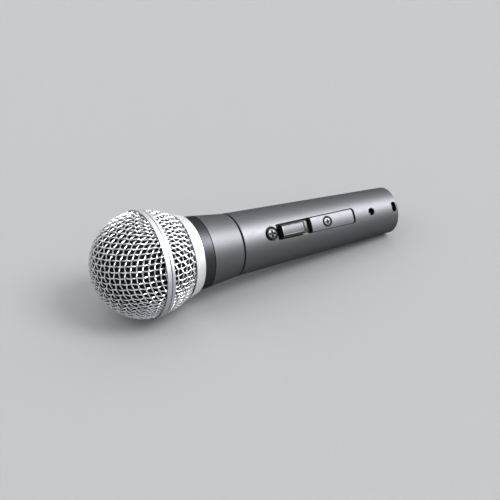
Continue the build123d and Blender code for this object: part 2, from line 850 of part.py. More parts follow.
def foam_liner():
    """Foam shell inside the wire cloth, open at the back for the cartridge."""
    inset = MESH_THICK + FOAM_GAP
    front_length = TIP_Z - FRONT_MESH_CENTRE_Z - inset
    rear_length = REAR_MESH_LENGTH - inset
    centre = FRONT_MESH_CENTRE_Z
    front = ellipsoid_shell(centre, FOAM_R, front_length, FOAM_THICK, centre, TIP_Z)
    rear = ellipsoid_shell(centre, FOAM_R, rear_length, FOAM_THICK, FOAM_Z, centre)
    return front + rear


# ---- assembly ----

PIECES = {
    "handle_shell": handle_shell,
    "lock_plate": lock_plate,
    "lock_plate_screw": lock_plate_screw,
    "switch_screw": switch_screw,
    "insert_set_screw": insert_set_screw,
    "xlr_insert": xlr_insert,
    "ground_contact": ground_contact,
    "transformer_can": transformer_can,
    "transformer_core": transformer_core,
    "transformer_bobbin": transformer_bobbin,
    "transformer_winding": transformer_winding,
    "transformer_potting": transformer_potting,
    "switch_housing": switch_housing,
    "switch_bracket": switch_bracket,
    "switch_terminals": switch_terminals,
    "switch_button": switch_button,
    "switch_button_face": switch_button_face,
    "switch_actuator": switch_actuator,
    "switch_dust_shield": switch_dust_shield,
    "collar": collar,
    "collar_gasket": collar_gasket,
    "name_ring": name_ring,
    "shock_mount": shock_mount,
    "cartridge_case": cartridge_case,
    "yoke_cup": yoke_cup,
    "magnet": magnet,
    "pole_piece": pole_piece,
    "top_plate": top_plate,
    "motor_spacer": motor_spacer,
    "diaphragm_surround": diaphragm_surround,
    "diaphragm": diaphragm,
    "voice_coil": voice_coil,
    "resonator_cap": resonator_cap,
    "front_ring": front_ring,
    "front_screen": front_screen,
    "acoustic_felt": acoustic_felt,
    "terminal_board": terminal_board,
    "cartridge_terminals": cartridge_terminals,
    "output_leads": output_leads,
    "transformer_leads": transformer_leads,
    "cartridge_leads": cartridge_leads,
    "base_ring": base_ring,
    "rear_mesh": rear_mesh,
    "front_mesh": front_mesh,
    "rear_hoop": rear_hoop,
    "front_hoop": front_hoop,
    "foam_liner": foam_liner,
}
for number, pin_angle in enumerate(PIN_ANGLES, 1):
    PIECES[f"contact_pin_{number}"] = lambda angle=pin_angle: contact_pin(angle)


def rest_tilt():
    """Angle of the axis above the table when the front hoop and the tail rim both touch it."""
    along = FRONT_HOOP_Z[0] + HOOP_FILLET - RIM_FILLET
    rise = (HOOP_R - HOOP_FILLET) - (TAIL_R - RIM_FILLET)
    return atan2(rise, along) + asin((HOOP_FILLET - RIM_FILLET) / hypot(along, rise))


def lying_plane(origin=(0, 0, 0)):
    """The microphone's own frame as it lies: grille towards -X, switch rolled towards -Y."""
    tilt = rest_tilt()
    roll = radians(SWITCH_ROLL)
    axis = Vector(-cos(tilt), 0, sin(tilt))
    up = Vector(sin(tilt), 0, cos(tilt))
    side = up * cos(roll) + Vector(0, 1, 0) * sin(roll)
    return Plane(origin=origin, x_dir=side, z_dir=axis)


def lay_down(shapes):
    """Lay every piece down and put the origin under the middle of the whole microphone."""
    turned_over = Compound(children=[lying_plane().location * s for s in shapes])
    box = turned_over.bounding_box()
    shift = Vector(-(box.min.X + box.max.X) / 2, -(box.min.Y + box.max.Y) / 2, -box.min.Z)
    return lying_plane(shift).location


def main():
    os.makedirs("parts", exist_ok=True)
    shapes = {name: make() for name, make in PIECES.items()}
    place = lay_down([shapes["handle_shell"], shapes["front_mesh"], shapes["front_hoop"]])
    origin = place.position
    print(f"tilt {degrees(rest_tilt()):.4f} deg, tail centre {origin.X:.4f} {origin.Y:.4f} {origin.Z:.4f}")
    for name, shape in shapes.items():
        export_step(place * shape, f"parts/{name}.step")


if __name__ == "__main__":
    main()
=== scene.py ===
import json
import math

import bpy
import numpy as np
from mathutils import Matrix, Vector


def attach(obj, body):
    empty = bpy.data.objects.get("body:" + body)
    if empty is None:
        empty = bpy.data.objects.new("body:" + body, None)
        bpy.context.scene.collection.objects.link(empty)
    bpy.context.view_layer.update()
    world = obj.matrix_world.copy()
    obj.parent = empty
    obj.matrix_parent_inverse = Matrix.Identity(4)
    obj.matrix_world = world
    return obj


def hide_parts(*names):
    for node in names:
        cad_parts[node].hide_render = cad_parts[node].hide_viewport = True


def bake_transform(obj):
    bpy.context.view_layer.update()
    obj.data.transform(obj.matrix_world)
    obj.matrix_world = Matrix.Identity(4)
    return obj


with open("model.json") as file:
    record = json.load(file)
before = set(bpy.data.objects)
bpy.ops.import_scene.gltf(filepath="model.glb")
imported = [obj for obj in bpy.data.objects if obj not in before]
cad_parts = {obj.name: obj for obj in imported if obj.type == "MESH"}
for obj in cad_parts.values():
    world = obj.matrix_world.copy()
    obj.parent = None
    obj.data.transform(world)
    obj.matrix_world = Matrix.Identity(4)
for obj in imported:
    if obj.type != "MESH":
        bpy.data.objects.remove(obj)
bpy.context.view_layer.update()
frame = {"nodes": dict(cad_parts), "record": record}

# The microphone's own axes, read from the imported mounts: z runs from the tail rim to the tip of
# the grille, and x points out of the side with the switch. Sizes below are in millimetres, and
# angles in degrees, unless a comment says otherwise.
MOUNTS = {m["name"]: m for m in frame["record"]["mounts"]}
TAIL = Vector(MOUNTS["connector_socket"]["pos_m"])
AXIS = -Vector(MOUNTS["connector_socket"]["axis"]).normalized()
ACROSS = (Vector(MOUNTS["tail_face"]["pos_m"]) - TAIL).normalized()
SIDE = ACROSS.cross(AXIS).normalized()
TURN = np.array([SIDE, ACROSS, AXIS], float)      # rows: the microphone's axes in the row frame
MM = 0.001

# Wire cloth. Each dome is the part of an ellipsoid between two heights. The cloth is draped from
# its pole, towards the tip of the grille (1) or the tail (-1). The roll turns the weave about
# the axis.
WIRE_D = 0.72
CRIMP = 0.42                 # how far a wire swings each way from the middle of the cloth
WIRE_PITCH = 2.66
WIRE_SIDES = 8
STEPS_PER_CELL = 8
CLOTH_CELLS = 18             # cells from the pole along each of the four main wires
CLOTH_REACH = 0.3            # how far the net goes past the equator, as a share of the length
SHORTEST_WIRE = 4            # crossings
SHORTEST_STRETCH = 3         # path points left after the cut
WIDEST_STEP = 0.5            # radians: more than one pitch round the dome
HALVINGS = 50                # of that step, to find where one pitch ends
NEWTON_STEPS = 25            # at most
FRONT = {"centre": 137.6, "radius": 25.0, "length": 24.4, "low": 136.6, "high": 170.0,
         "pole": 1, "roll": -18.0}
REAR = {"centre": 137.0, "radius": 24.85, "length": 27.6, "low": 118.7, "high": 134.8,
        "pole": -1, "roll": 67.0}

# Painted shade: recesses, gaps, grooves and bores get a near-black colour for the shadow in them,
# inside this radius at the tail rim, which grows by the second number for each millimetre of height
HANDLE_RADIUS = (11.5, 15.2)       # at the tail rim and at the top
HANDLE_TOP = 91.7
HANDLE_SKIN = 0.3
HANDLE_GROWTH = (HANDLE_RADIUS[1] - HANDLE_RADIUS[0]) / HANDLE_TOP
HANDLE_PAINTED_SHADE = (HANDLE_RADIUS[0] - HANDLE_SKIN, HANDLE_GROWTH)
COLLAR_PAINTED_SHADE = (14.75, 0.0)
RING_PAINTED_SHADE = (16.9, 0.0)
GROOVE_PAINTED_SHADE = (24.95, 0.0)
PAINTED_SHADE_COLOR = (0.012, 0.012, 0.013)
PAINTED_SHADE_FADE = (-0.1, 0.05)         # painted shade to skin, from the radius
RIM_SHADE_FADE = (0.3, 0.6)              # skin to painted shade, from the tail rim: the tail face keeps its enamel
# Fade of the painted shade on screw heads, in millimetres of depth
SHADE_DEPTH_FADE = 0.08

# Foam lining
FOAM = {"centre": 137.6, "radius": 22.55, "front": 22.45, "rear": 25.6, "thick": 2.4, "low": 124.1}
FOAM_AROUND = 240
FOAM_ANGLES = (90, -32, 60)        # first (the tip), last, and how many
FOAM_DENT = 0.12
FOAM_SEED = 7

# Grille thread on the collar's neck
THREAD_PITCH = 1.0
THREAD_ROOT = 15.9
THREAD_CREST = 16.4
THREAD_Z = (114.75, 119.1)
THREAD_SIDES = 96
THREAD_HALF = 0.42 * THREAD_PITCH  # half the ridge's width at its root
THREAD_FLAT = 0.1                  # half the ridge's width at its crest
THREAD_SINK = 0.1                  # how deep the ridge's foot is sunk into the neck
THREAD_FADES = 3                   # the ridge rises and falls over a third of a turn
THREAD_CORNERS = 4                 # of its cross-section

# Smoothing of turned surfaces
TURNED_MISS = 0.1                  # largest difference between a facet's normal and the ideal
CREASE = 30
POINT_GRID = 1e6                   # corners that share a place to a micrometre are one point
NEARLY_ZERO = 1e-9

# Shader patterns: noise scales in cells per metre, bump distances in metres
ROUGH_LESS = 0.06                  # how far roughness goes below its mean, and above it
ROUGH_MORE = 0.08
FINE_BUMP = 0.000008
LINES_BUMP = 0.000006
WIRE_BUMP = 0.000012
PLASTIC_BUMP = 0.00002
FOAM_BUMP = 0.0002
FLAKE_SHADES = (0.72, 1.25)        # darkest and lightest flake, as shares of the colour
METAL_SHADE = 0.85
PLATED_SHADE = 0.9
PLASTIC_SHADES = (0.8, 1.15)
ENAMEL_SPECULAR = (0.3, 0.3, 0.31, 1.0)

# Camera, at the photograph's viewing angle; metres
CAMERA_AZIMUTH = -31.13
CAMERA_ELEVATION = 33.32
CAMERA_DISTANCE = 0.640
CAMERA_AIM = (0.0030, 0.0042, 0.0109)
CAMERA_LENS = 95.44
CAMERA_SENSOR = 36.0
CAMERA_CLIP = 0.01

# Soft suns: direction towards each, width, strength, and whether it lights more than reflections
KEY_SOURCE = (0.43, -0.48, 0.78)
SUNS = {
    "key": (KEY_SOURCE, 30, 1.1, True),
    "sheen": (KEY_SOURCE, 28, 9.0, False),
    "back_sheen": ((0.1, 0.6, 0.8), 45, 1.0, False),
    "tail_sheen": ((0.96, 0.05, 0.25), 35, 2.5, False),
    "fill": ((-0.7, 0.1, 0.7), 60, 0.3, True),
}
WORLD_COLOR = (0.96, 0.98, 1.0, 1.0)
WORLD_STRENGTH = 0.6
FLOOR_HALF = 3.0                   # metres
FLOOR_COLOR = (0.6, 0.6, 0.61)


# ---- places and meshes ----

def to_row(points):
    """Points in the microphone's own frame, in millimetres, to the row frame, in metres."""
    return np.asarray(points, float) @ TURN * MM + np.array(TAIL)


def add_object(name, data):
    """A new object in the scene."""
    made = bpy.data.objects.new(name, data)
    bpy.context.scene.collection.objects.link(made)
    return made


def piece(name, verts, faces, body, slot, material, smooth=True):
    """A new mesh object from points in the microphone's own frame."""
    mesh = bpy.data.meshes.new(name)
    mesh.from_pydata(to_row(verts).tolist(), [], faces)
    mesh.update()
    mesh.polygons.foreach_set("use_smooth", [smooth] * len(mesh.polygons))
    mesh.materials.append(material)
    made = add_object(name, mesh)
    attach(made, body)
    return made


# ---- materials ----

def tinted(color, share):
    """A colour made lighter or darker by a share."""
    return tuple(share * c for c in color)


def opaque(value):
    """A colour or a grey, with alpha."""
    return (*value, 1.0) if hasattr(value, "__len__") else (value, value, value, 1.0)


class Finish:
    """A Principled material and short ways to add procedural detail to it."""

    def __init__(self, name, color, metallic=0.0, roughness=0.5, **sockets):
        self.material = bpy.data.materials.new(name)
        self.material.use_nodes = True
        self.tree = self.material.node_tree
        self.shader = self.tree.nodes["Principled BSDF"]
        self.set("Base Color", (*color, 1.0))
        self.set("Metallic", metallic)
        self.set("Roughness", roughness)
        for socket, value in sockets.items():
            self.set(socket.replace("_", " "), value)

    def set(self, socket, value):
        self.shader.inputs[socket].default_value = value

    def node(self, kind, **settings):
        made = self.tree.nodes.new(kind)
        for key, value in settings.items():
            setattr(made, key, value)
        return made

    def link(self, out, into):
        self.tree.links.new(out, into)

    def place(self):
        """Position on the piece, in metres in the row frame at rest."""
        return self.node("ShaderNodeTexCoord").outputs["Object"]

    def from_tail(self):
        """Position from the middle of the tail rim, in metres."""
        moved = self.node("ShaderNodeVectorMath", operation="SUBTRACT")
        self.link(self.place(), moved.inputs[0])
        moved.inputs[1].default_value = TAIL
        return moved.outputs[0]

    def along(self, direction):
        """Distance from the middle of the tail rim along a direction, in metres."""
        dot = self.node("ShaderNodeVectorMath", operation="DOT_PRODUCT")
        self.link(self.from_tail(), dot.inputs[0])
        dot.inputs[1].default_value = direction
        return dot.outputs["Value"]

    def off_axis(self):
        """Distance from the microphone's axis, in metres."""
        across = self.node("ShaderNodeVectorMath", operation="CROSS_PRODUCT")
        self.link(self.from_tail(), across.inputs[0])
        across.inputs[1].default_value = AXIS
        length = self.node("ShaderNodeVectorMath", operation="LENGTH")
        self.link(across.outputs[0], length.inputs[0])
        return length.outputs["Value"]

    def fade(self, value, start, end, first, last):
        """From first to last while a value in metres goes from start to end, in millimetres."""
        made = self.node("ShaderNodeMapRange")
        made.inputs["From Min"].default_value = start * MM
        made.inputs["From Max"].default_value = end * MM
        made.inputs["To Min"].default_value = first
        made.inputs["To Max"].default_value = last
        self.link(value, made.inputs["Value"])
        return made.outputs["Result"]

    def inside(self, radius, growth):
        """Mask for painted shade: 0 on the outer skin and the tail face, and 1 in recesses and
        bores.
        """
        cone = self.node("ShaderNodeMath", operation="MULTIPLY_ADD")
        self.link(self.along(AXIS), cone.inputs[0])
        cone.inputs[1].default_value = -growth
        self.link(self.off_axis(), cone.inputs[2])
        start, end = (radius + edge for edge in PAINTED_SHADE_FADE)
        both = self.node("ShaderNodeMath", operation="MULTIPLY")
        self.link(self.fade(cone.outputs["Value"], start, end, 1.0, 0.0), both.inputs[0])
        self.link(self.fade(self.along(AXIS), *RIM_SHADE_FADE, 0.0, 1.0), both.inputs[1])
        return both.outputs["Value"]

    def below(self, depth, direction, top):
        """Mask for painted shade: 0 near the top of a part and 1 deeper than depth, along a
        direction.
        """
        level = top - depth
        return self.fade(self.along(direction), level - SHADE_DEPTH_FADE, level, 1.0, 0.0)

    def mix(self, share, first, second):
        """The first colour where share is 0 and the second, a constant, where it is 1."""
        made = self.node("ShaderNodeMix", data_type="RGBA")
        self.link(share, made.inputs["Factor"])
        self.link(first, made.inputs["A"])
        made.inputs["B"].default_value = (*second, 1.0)
        return made.outputs["Result"]

    def noise(self, scale, detail=3.0):
        """Soft irregular patches."""
        made = self.node("ShaderNodeTexNoise")
        made.inputs["Scale"].default_value = scale
        made.inputs["Detail"].default_value = detail
        made.inputs["Roughness"].default_value = 0.55
        self.link(self.place(), made.inputs["Vector"])
        return made.outputs["Fac"]

    def turned_lines(self, scale):
        """Fine lines round the axis, as a lathe or a polishing wheel leaves."""
        made = self.node("ShaderNodeTexNoise", noise_dimensions="1D")
        made.inputs["Scale"].default_value = scale
        made.inputs["Detail"].default_value = 4.0
        self.link(self.along(AXIS), made.inputs["W"])
        return made.outputs["Fac"]

    def cells(self, scale, feature, output):
        """Small irregular cells: metal flakes, or the pores of foam."""
        made = self.node("ShaderNodeTexVoronoi", feature=feature)
        made.inputs["Scale"].default_value = scale
        self.link(self.place(), made.inputs["Vector"])
        return made.outputs[output]

    def ramp(self, value, low, high, start=0.3, end=0.7):
        """Map a 0 to 1 value onto two colours or two greys."""
        made = self.node("ShaderNodeValToRGB")
        first, last = made.color_ramp.elements
        first.position, first.color = start, opaque(low)
        last.position, last.color = end, opaque(high)
        self.link(value, made.inputs["Fac"])
        return made.outputs["Color"]

    def color(self, value):
        self.link(value, self.shader.inputs["Base Color"])

    def roughness(self, value, low, high):
        """Roughness that wanders between two levels."""
        self.link(self.ramp(value, low, high), self.shader.inputs["Roughness"])

    def bump(self, height, distance, strength):
        made = self.node("ShaderNodeBump")
        made.inputs["Distance"].default_value = distance
        made.inputs["Strength"].default_value = strength
        self.link(height, made.inputs["Height"])
        self.link(made.outputs["Normal"], self.shader.inputs["Normal"])


def enamel(name, color, roughness, inside):
    """Satin metallic enamel with fine flakes and orange peel; painted shade, near black, in
    recesses and bores.
    """
    f = Finish(name, color, metallic=0.85, roughness=roughness, Specular_Tint=ENAMEL_SPECULAR)
    dark, light = (tinted(color, share) for share in FLAKE_SHADES)
    flakes = f.cells(scale=9000.0, feature="F1", output="Color")
    painted = f.ramp(flakes, dark, light, start=0.0, end=1.0)
    # Painted shade: near black in recesses and bores, the flaked enamel on the outer skin
    f.color(f.mix(f.inside(*inside), painted, PAINTED_SHADE_COLOR))
    f.roughness(f.noise(scale=420.0), low=roughness - 0.02, high=roughness + 0.03)
    f.bump(f.noise(scale=5200.0, detail=2.0), FINE_BUMP, strength=0.5)
    return f.material


def plate_metal(name, color, roughness, inside=None):
    """Bright plated metal with fine lines round the axis, and painted shade inside a radius if
    given one.
    """
    f = Finish(name, color, metallic=1.0, roughness=roughness)
    lines = f.turned_lines(scale=9000.0)
    plated = f.ramp(f.noise(scale=180.0), tinted(color, PLATED_SHADE), color)
    # Painted shade: near black inside the given radius, such as the hoops' groove
    f.color(f.mix(f.inside(*inside), plated, PAINTED_SHADE_COLOR) if inside else plated)
    f.roughness(lines, low=roughness - 0.05, high=roughness + ROUGH_MORE)
    f.bump(lines, LINES_BUMP, strength=0.6)
    return f.material


def wire_metal():
    """Drawn and plated wire: bright, with small rub marks."""
    f = Finish("woven_wire", (0.64, 0.65, 0.67), metallic=1.0, roughness=0.24)
    f.color(f.ramp(f.noise(scale=900.0), (0.57, 0.58, 0.6), (0.7, 0.71, 0.73)))
    f.roughness(f.noise(scale=3500.0), low=0.18, high=0.32)
    f.bump(f.noise(scale=6000.0, detail=2.0), WIRE_BUMP, strength=0.5)
    return f.material


def metal(name, color, roughness, scale=1500.0):
    """Plain machined or stamped metal."""
    f = Finish(name, color, metallic=1.0, roughness=roughness)
    f.color(f.ramp(f.noise(scale), tinted(color, METAL_SHADE), color))
    f.roughness(f.noise(3.0 * scale), roughness - ROUGH_LESS, roughness + ROUGH_MORE)
    f.bump(f.noise(4.0 * scale, detail=2.0), FINE_BUMP, strength=0.5)
    return f.material


def screw_metal(node, color, roughness, depth):
    """Plated screw head, with painted shade in its drive recess and under its rim."""
    f = Finish(node, color, metallic=1.0, roughness=roughness)
    top = max((v.co - TAIL).dot(SIDE) for v in frame["nodes"][node].data.vertices) / MM
    plated = f.ramp(f.noise(scale=1500.0), tinted(color, METAL_SHADE), color)
    # Painted shade: near black in the drive recess and under the rim, deeper than depth below the
    # head's top
    f.color(f.mix(f.below(depth, SIDE, top), plated, PAINTED_SHADE_COLOR))
    f.roughness(f.noise(scale=4500.0), roughness - ROUGH_LESS, roughness + ROUGH_MORE)
    f.bump(f.noise(scale=6000.0, detail=2.0), FINE_BUMP, strength=0.5)
    return f.material


def plastic(name, color, roughness, grain=7000.0):
    """Moulded plastic, rubber or felt with a fine grain."""
    f = Finish(name, color, roughness=roughness)
    dark, light = (tinted(color, share) for share in PLASTIC_SHADES)
    f.color(f.ramp(f.noise(scale=600.0), dark, light))
    f.roughness(f.noise(scale=2500.0), roughness - ROUGH_LESS, roughness + ROUGH_LESS)
    f.bump(f.noise(grain), PLASTIC_BUMP, strength=0.6)
    return f.material


def foam_material():
    """Open-cell foam: dark, matt and full of small holes, with painted shade in their centres."""
    f = Finish("open_cell_foam", (0.01, 0.01, 0.011), roughness=0.95, Specular_IOR_Level=0.08)
    pores = f.cells(scale=1700.0, feature="DISTANCE_TO_EDGE", output="Distance")
    # Pore centres get a darker colour than the walls: painted shade in the holes
    wall, pore_shade = (0.018, 0.018, 0.019), (0.004, 0.004, 0.004)
    f.color(f.ramp(pores, wall, pore_shade, start=0.02, end=0.3))
    f.bump(pores, FOAM_BUMP, strength=0.8)
    return f.material


def make_materials():
    """All finishes, by the record's material slots and by the names in NODE_FINISH."""
    return {
        # The enamels and the hoops carry painted shade inside the radii given with them
        "handle_enamel": enamel("handle_enamel", (0.1, 0.102, 0.109), 0.52, HANDLE_PAINTED_SHADE),
        "collar_enamel": enamel("collar_enamel", (0.1, 0.102, 0.109), 0.52, COLLAR_PAINTED_SHADE),
        "ring_enamel": enamel("ring_enamel", (0.04, 0.041, 0.044), 0.42, RING_PAINTED_SHADE),
        "plated_ring": plate_metal("plated_ring", (0.88, 0.89, 0.91), 0.36),
        "plated_hoop": plate_metal("plated_hoop", (0.42, 0.43, 0.45), 0.52, GROOVE_PAINTED_SHADE),
        "wire_cloth": wire_metal(),
        "foam": foam_material(),
        "black_plastic": plastic("black_plastic", (0.022, 0.022, 0.024), 0.42),
        "button_metal": metal("button_metal", (0.08, 0.082, 0.087), 0.4, 2500.0),
        "button_face": metal("button_face", (0.06, 0.061, 0.065), 0.46, 2500.0),
        "switch_screw": screw_metal("switch_screw", (0.07, 0.07, 0.073), 0.4, 0.35),
        "lock_plate_screw": screw_metal("lock_plate_screw", (0.1, 0.1, 0.104), 0.38, 0.25),
        "dark_screw": metal("dark_screw", (0.16, 0.16, 0.17), 0.34),
        "bright_screw": metal("bright_screw", (0.6, 0.61, 0.63), 0.3),
        "gold_contact": metal("gold_contact", (0.86, 0.66, 0.32), 0.2),
        "shield_steel": metal("shield_steel", (0.55, 0.55, 0.56), 0.4),
        "motor_iron": metal("motor_iron", (0.4, 0.4, 0.42), 0.35),
        "copper_wire": metal("copper_wire", (0.75, 0.36, 0.18), 0.3, 4000.0),
        "potting": plastic("potting", (0.62, 0.53, 0.34), 0.5),
        "rubber_black": plastic("rubber_black", (0.02, 0.02, 0.021), 0.7),
        "film": plastic("film", (0.6, 0.58, 0.5), 0.25),
        "felt": plastic("felt", (0.3, 0.3, 0.32), 0.95, 3000.0),
        "lead_jacket": plastic("lead_jacket", (0.4, 0.04, 0.03), 0.4),
    }


# Nodes whose finish isn't the one of their material slot
NODE_FINISH = {
    "collar": "collar_enamel",
    "front_hoop": "plated_hoop",
    "rear_hoop": "plated_hoop",
    "switch_screw": "switch_screw",
    "lock_plate_screw": "lock_plate_screw",
    "switch_button_face": "button_face",
}


# ---- shading of turned surfaces ----

def outward(points):
    """Unit directions from the microphone's axis to points in the row frame."""
    axis = np.array(AXIS)
    out = points - np.array(TAIL)
    out -= np.outer(out @ axis, axis)
    return out / np.maximum(np.linalg.norm(out, axis=1), NEARLY_ZERO)[:, None]


def turned_normal(rise, lean, points):
    """Normals with given parts along the axis and away from it, at points in the row frame."""
    return rise[:, None] * np.array(AXIS) + lean[:, None] * outward(points)


def merged(shade, turned, points, weight):
    """Average the turned corners' normals that meet at a point, unless a crease parts them."""
    grid = np.round(points * POINT_GRID).astype(np.int64)
    place = np.unique(grid, axis=0, return_inverse=True)[1].ravel()
    order = np.argsort(place, kind="stable")
    order = order[turned[order]]
    starts = np.flatnonzero(np.diff(place[order], prepend=-1))
    smooth = shade.copy()
    for group in np.split(order, starts[1:]):
        near = shade[group] @ shade[group].T > math.cos(math.radians(CREASE))
        mean = (near * weight[group]) @ shade[group]
        smooth[group] = mean / np.linalg.norm(mean, axis=1)[:, None]
    return smooth


def smooth_turned(mesh):
    """Shade surfaces turned about the microphone's axis by their true normals, not facets'."""
    points = np.array([v.co for v in mesh.vertices])[[c.vertex_index for c in mesh.loops]]
    sizes = [p.loop_total for p in mesh.polygons]
    corner_face = np.repeat(np.arange(len(sizes)), sizes)
    normal = np.array([p.normal for p in mesh.polygons])
    centre = np.array([p.center for p in mesh.polygons])
    rise = normal @ np.array(AXIS)
    side = np.sign((normal * outward(centre)).sum(axis=1))
    lean = side * np.sqrt(np.maximum(0.0, 1 - rise ** 2))
    miss = np.linalg.norm(normal - turned_normal(rise, lean, centre), axis=1)
    turned = (miss < TURNED_MISS)[corner_face]
    if not turned.any():
        return
    shade = np.array([c.vector for c in mesh.corner_normals])
    true = turned_normal(rise[corner_face], lean[corner_face], points)
    shade[turned] = true[turned]
    area = np.array([p.area for p in mesh.polygons])
    smooth = merged(shade, turned, points, area[corner_face])
    mesh.polygons.foreach_set("use_smooth", [True] * len(mesh.polygons))
    mesh.normals_split_custom_set(smooth.tolist())


def dress_cad_nodes(materials):
    """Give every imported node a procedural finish, and smooth its turned surfaces."""
    for row in frame["record"]["subparts"]:
        mesh = frame["nodes"][row["node"]].data
        mesh.materials.clear()
        mesh.materials.append(materials[NODE_FINISH.get(row["node"], row["material_slot"])])
        smooth_turned(mesh)


# ---- wire cloth ----

def main_wire(radius, length):
    """Points one pitch apart along an ellipse from its pole: distance from the axis, height."""
    angle = 0.0
    found = [(0.0, length)]
    for _ in range(CLOTH_CELLS):
        low, high = angle, angle + WIDEST_STEP
        for _ in range(HALVINGS):
            middle = (low + high) / 2
            point = (radius * math.sin(middle), length * math.cos(middle))
            if math.dist(point, found[-1]) < WIRE_PITCH:
                low = middle
            else:
                high = middle
        angle = low
        found.append(point)
    return found


def inverse_squares(radius, length):
    """The ellipsoid is where the squares of a point's coordinates times these add up to 1."""
    return np.array([1 / radius ** 2, 1 / radius ** 2, 1 / length ** 2])


def next_crossing(a, b, c, radius, length):
    """The fourth corner of a cell with four equal sides, on the ellipsoid, by Newton's method."""
    x = a + b - c
    scale = inverse_squares(radius, length)
    for _ in range(NEWTON_STEPS):
        to_a, to_b = x - a, x - b
        side = WIRE_PITCH ** 2
        miss = np.array([to_a @ to_a - side, to_b @ to_b - side, (x * x) @ scale - 1])
        slope = np.array([2 * to_a, 2 * to_b, 2 * x * scale])
        step = np.linalg.solve(slope, -miss)
        x = x + step
        if np.abs(step).max() < NEARLY_ZERO:
            break
    return x


def draped_net(radius, length):
    """A square cloth laid over a dome from its pole: a cell keeps its four sides and shears."""
    net = {}
    for i, (out, up) in enumerate(main_wire(radius, length)):
        net[i, 0] = np.array([out, 0.0, up])
        net[0, i] = np.array([0.0, out, up])
    for i in range(1, CLOTH_CELLS + 1):
        for j in range(1, CLOTH_CELLS + 1):
            corner = net.get((i - 1, j - 1))
            if corner is None or corner[2] < -CLOTH_REACH * length:
                continue
            if (i - 1, j) in net and (i, j - 1) in net:
                sides = net[i - 1, j], net[i, j - 1]
                net[i, j] = next_crossing(*sides, corner, radius, length)
    for (i, j), point in list(net.items()):
        for p, q in ((-1, 1), (1, -1), (-1, -1)):
            net[p * i, q * j] = point * np.array([p, q, 1])
    return net


def surface_point(point, radius, length):
    """The ellipsoid's point on the line from its centre to a point, and the normal there."""
    scale = inverse_squares(radius, length)
    on = point / math.sqrt((point * point) @ scale)
    normal = on * scale
    return on, normal / np.linalg.norm(normal)


def spline(before, a, b, after, t):
    """A smooth curve from a to b that follows its neighbours; t goes from 0 to 1."""
    bend = (b - before) * (t - 2 * t * t + t ** 3) + (after - a) * (t ** 3 - t * t)
    return a * (1 - 3 * t * t + 2 * t ** 3) + b * (3 * t * t - 2 * t ** 3) + 0.5 * bend


def crimped_path(crossings, parity, radius, length):
    """Centre line of one wire through its crossings, waved over and under, with its normals."""
    path = []
    normals = []
    for k in range(len(crossings) - 1):
        before = crossings[max(k - 1, 0)]
        after = crossings[min(k + 2, len(crossings) - 1)]
        for s in range(STEPS_PER_CELL):
            t = s / STEPS_PER_CELL
            middle = spline(before, crossings[k], crossings[k + 1], after, t)
            on, normal = surface_point(middle, radius, length)
            wave = parity * (-1) ** k * math.cos(math.pi * t) * CRIMP
            path.append(on + wave * normal)
            normals.append(normal)
    return np.array(path), np.array(normals)


def tube_points(path, normals):
    """Points round a wire's centre line, one ring after another."""
    turn = np.linspace(0, 2 * math.pi, WIRE_SIDES, endpoint=False)[None, :, None]
    tangent = np.gradient(path, axis=0)
    tangent /= np.linalg.norm(tangent, axis=1)[:, None]
    across = np.cross(tangent, normals)
    across /= np.linalg.norm(across, axis=1)[:, None]
    lift = np.cross(across, tangent)
    ring = np.cos(turn) * across[:, None] + np.sin(turn) * lift[:, None]
    return (path[:, None] + ring * WIRE_D / 2).reshape(-1, 3)


def wire_mesh(paths):
    """Round closed tubes along all the paths, as one list of points and faces."""
    verts = []
    faces = []
    for path, normals in paths:
        start = len(verts)
        verts.extend(tube_points(path, normals))
        last = start + (len(path) - 1) * WIRE_SIDES
        for row in range(start, last, WIRE_SIDES):
            for s in range(WIRE_SIDES):
                a = row + s
                b = row + (s + 1) % WIRE_SIDES
                faces.append((a, b, b + WIRE_SIDES, a + WIRE_SIDES))
        faces.append(tuple(start + s for s in reversed(range(WIRE_SIDES))))
        faces.append(tuple(last + s for s in range(WIRE_SIDES)))
    return np.array(verts), faces


def clipped(path, normals, low, high):
    """The stretches of a path that lie between two heights."""
    inside = (path[:, 2] >= low) & (path[:, 2] <= high)
    edges = np.flatnonzero(np.diff(np.concatenate([[0], inside.astype(int), [0]])))
    stretches = zip(edges[::2], edges[1::2])
    return [(path[a:b], normals[a:b]) for a, b in stretches if b - a >= SHORTEST_STRETCH]


def family_wires(net, warp):
    """Each wire of one family: its crossings in order, and whether it starts over or under."""
    reach = max(i for i, _ in net)
    span = range(-reach, reach + 1)
    for line in span:
        run = [(k, line) if warp else (line, k) for k in span]
        run = [cell for cell in run if cell in net]
        if len(run) >= SHORTEST_WIRE:
            yield [net[cell] for cell in run], (-1) ** sum(run[0]) * (1 if warp else -1)


def cloth_paths(net, shape, warp, radius, length):
    """The paths of one family of wires, in the microphone's own frame and cut to the dome."""
    spin = np.array(Matrix.Rotation(math.radians(shape["roll"]), 3, "Z"), float)
    flip = np.array([1, 1, shape["pole"]])
    paths = []
    for crossings, parity in family_wires(net, warp):
        path, normals = crimped_path(crossings, parity, radius, length)
        path = path * flip @ spin.T + np.array([0, 0, shape["centre"]])
        normals = normals * flip @ spin.T
        paths.extend(clipped(path, normals, shape["low"], shape["high"]))
    return paths


def woven_cloth(name, shape, body, node, material):
    """Two families of wires, woven over and under each other, in place of a smooth CAD shell."""
    radius = shape["radius"] - CRIMP - WIRE_D / 2
    length = shape["length"] - CRIMP - WIRE_D / 2
    net = draped_net(radius, length)
    warp_mesh = wire_mesh(cloth_paths(net, shape, True, radius, length))
    warp = piece(name + "_warp", *warp_mesh, body, "wire_cloth", material)
    weft_mesh = wire_mesh(cloth_paths(net, shape, False, radius, length))
    piece(name + "_weft", *weft_mesh, body, "wire_cloth", material)
    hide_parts(node)


# ---- foam ----

